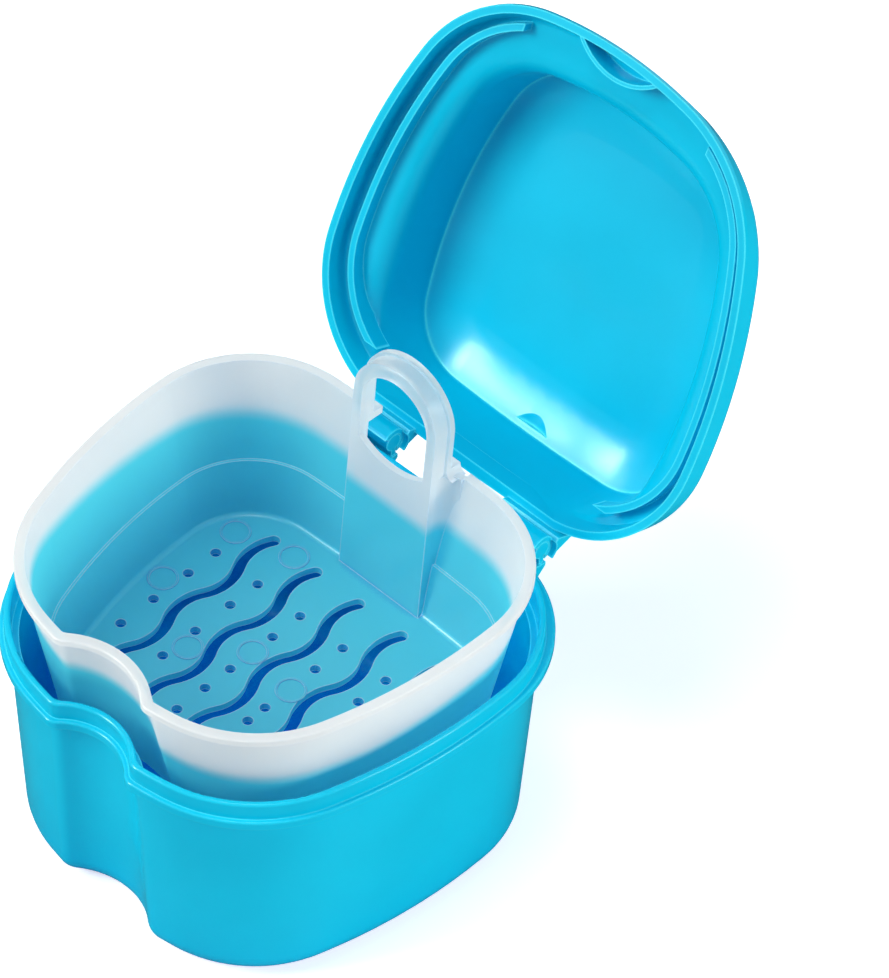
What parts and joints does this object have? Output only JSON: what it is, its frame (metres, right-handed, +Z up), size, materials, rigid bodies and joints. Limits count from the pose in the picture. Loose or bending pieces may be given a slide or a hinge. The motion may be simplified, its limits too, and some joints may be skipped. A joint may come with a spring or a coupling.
{
  "type": "denture case",
  "caption": "Squarish drafted soaking case with a front thumb notch, a deep domed lid on two rear snap hinges, and a perforated lift-out basket with an arched handle.",
  "frame": {"origin": "centre of the flat bottom of the base box, on the surface it stands on", "axes": "+Z up; -Y to the front, where the thumb notch is; +Y to the hinges; X across the width"},
  "size_m": [0.09, 0.1427, 0.1283],
  "materials": {
    "shell": "glossy injection-moulded polypropylene, cyan",
    "basket": "frosted translucent polypropylene, natural white"
  },
  "bodies": {
    "base": {"base": "shell"},
    "lid": {"lid": "shell"},
    "basket": {"basket": "basket"}
  },
  "joints": [
    {"name": "lid_hinge", "type": "hinge", "parent": "base", "child": "lid", "pos_m": [0, 0.04613, 0.04954], "axis": [1, 0, 0], "range_deg": [0, 115.5]},
    {"name": "basket_lift", "type": "slide", "parent": "base", "child": "basket", "axis": [0, 0, 1], "range_m": [-0.0185, 0]}
  ],
  "couplings": [
    {"joint": "basket_lift", "follows": "lid_hinge", "m_per_rad": -0.0091772}
  ]
}
